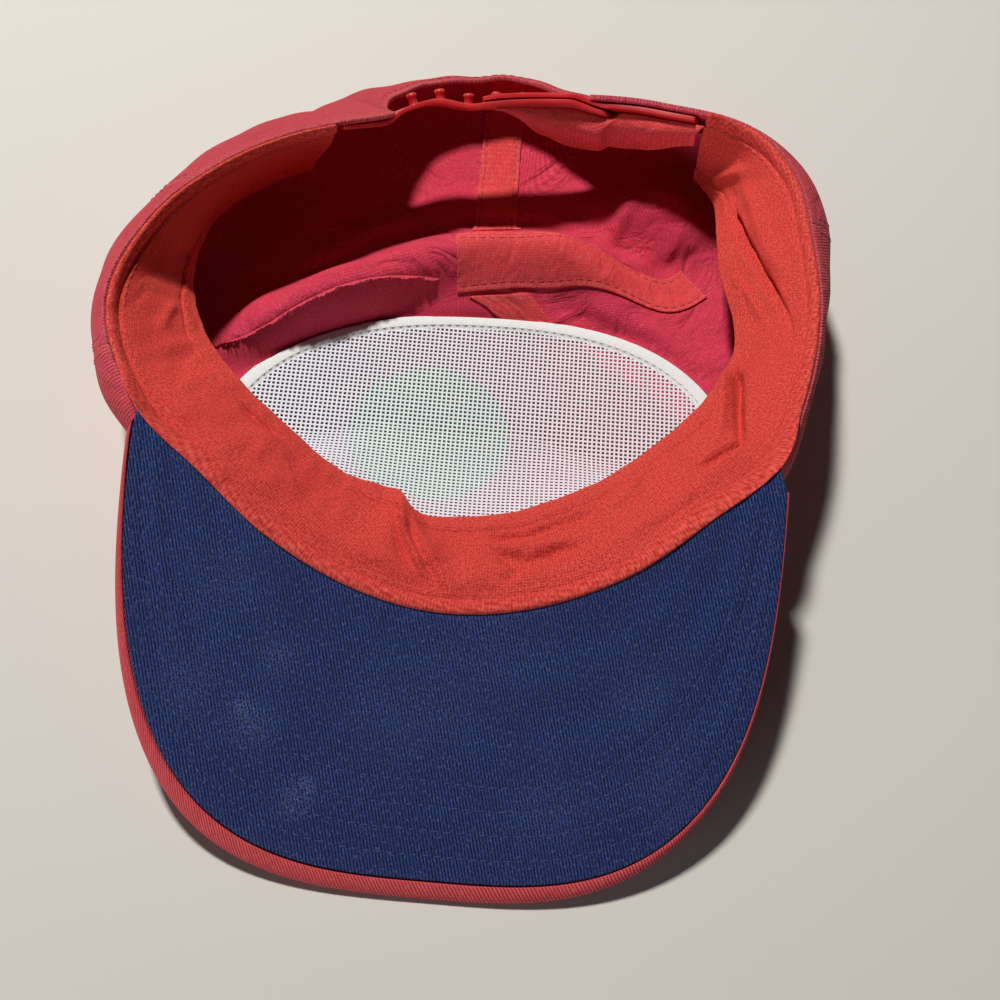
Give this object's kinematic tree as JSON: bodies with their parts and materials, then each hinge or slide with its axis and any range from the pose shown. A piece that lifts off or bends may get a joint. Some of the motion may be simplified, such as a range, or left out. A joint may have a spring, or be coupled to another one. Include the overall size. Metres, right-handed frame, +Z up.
{
  "type": "five-panel cap",
  "caption": "Soft panelled cap lying on its sunk crown, hollow side up, with a flat visor, an inner sweatband, a net-lined front and a plastic snap strap across the cut-out at the back.",
  "frame": {"origin": "middle of the bounding box, on the surface that the cap lies on", "axes": "+Y runs from the visor's tip to the back of the crown, +X to the right with the visor nearest, +Z up out of the hollow"},
  "size_m": [0.2176, 0.2684, 0.0502],
  "materials": {
    "crown_twill": "washed crimson cotton twill",
    "sweatband_cotton": "brushed orange-red cotton",
    "navy_twill": "scuffed navy cotton twill",
    "white_net": "stiff white knitted net",
    "white_tape": "white woven cotton tape",
    "seam_tape": "red cotton seam tape",
    "strap_plastic": "moulded soft red plastic, satin"
  },
  "bodies": {
    "root": {"front_panel": "crown_twill", "side_panel_left": "crown_twill", "side_panel_right": "crown_twill", "back_panel_left": "crown_twill", "back_panel_right": "crown_twill", "front_mesh": "white_net", "mesh_binding": "white_tape", "sweatband": "sweatband_cotton", "visor_cover": "crown_twill", "visor_underside": "navy_twill", "strap_pegs": "strap_plastic", "strap_holes": "strap_plastic", "seam_tape_back": "seam_tape", "seam_tape_right": "seam_tape", "seam_tape_front": "seam_tape"}
  },
  "joints": []
}
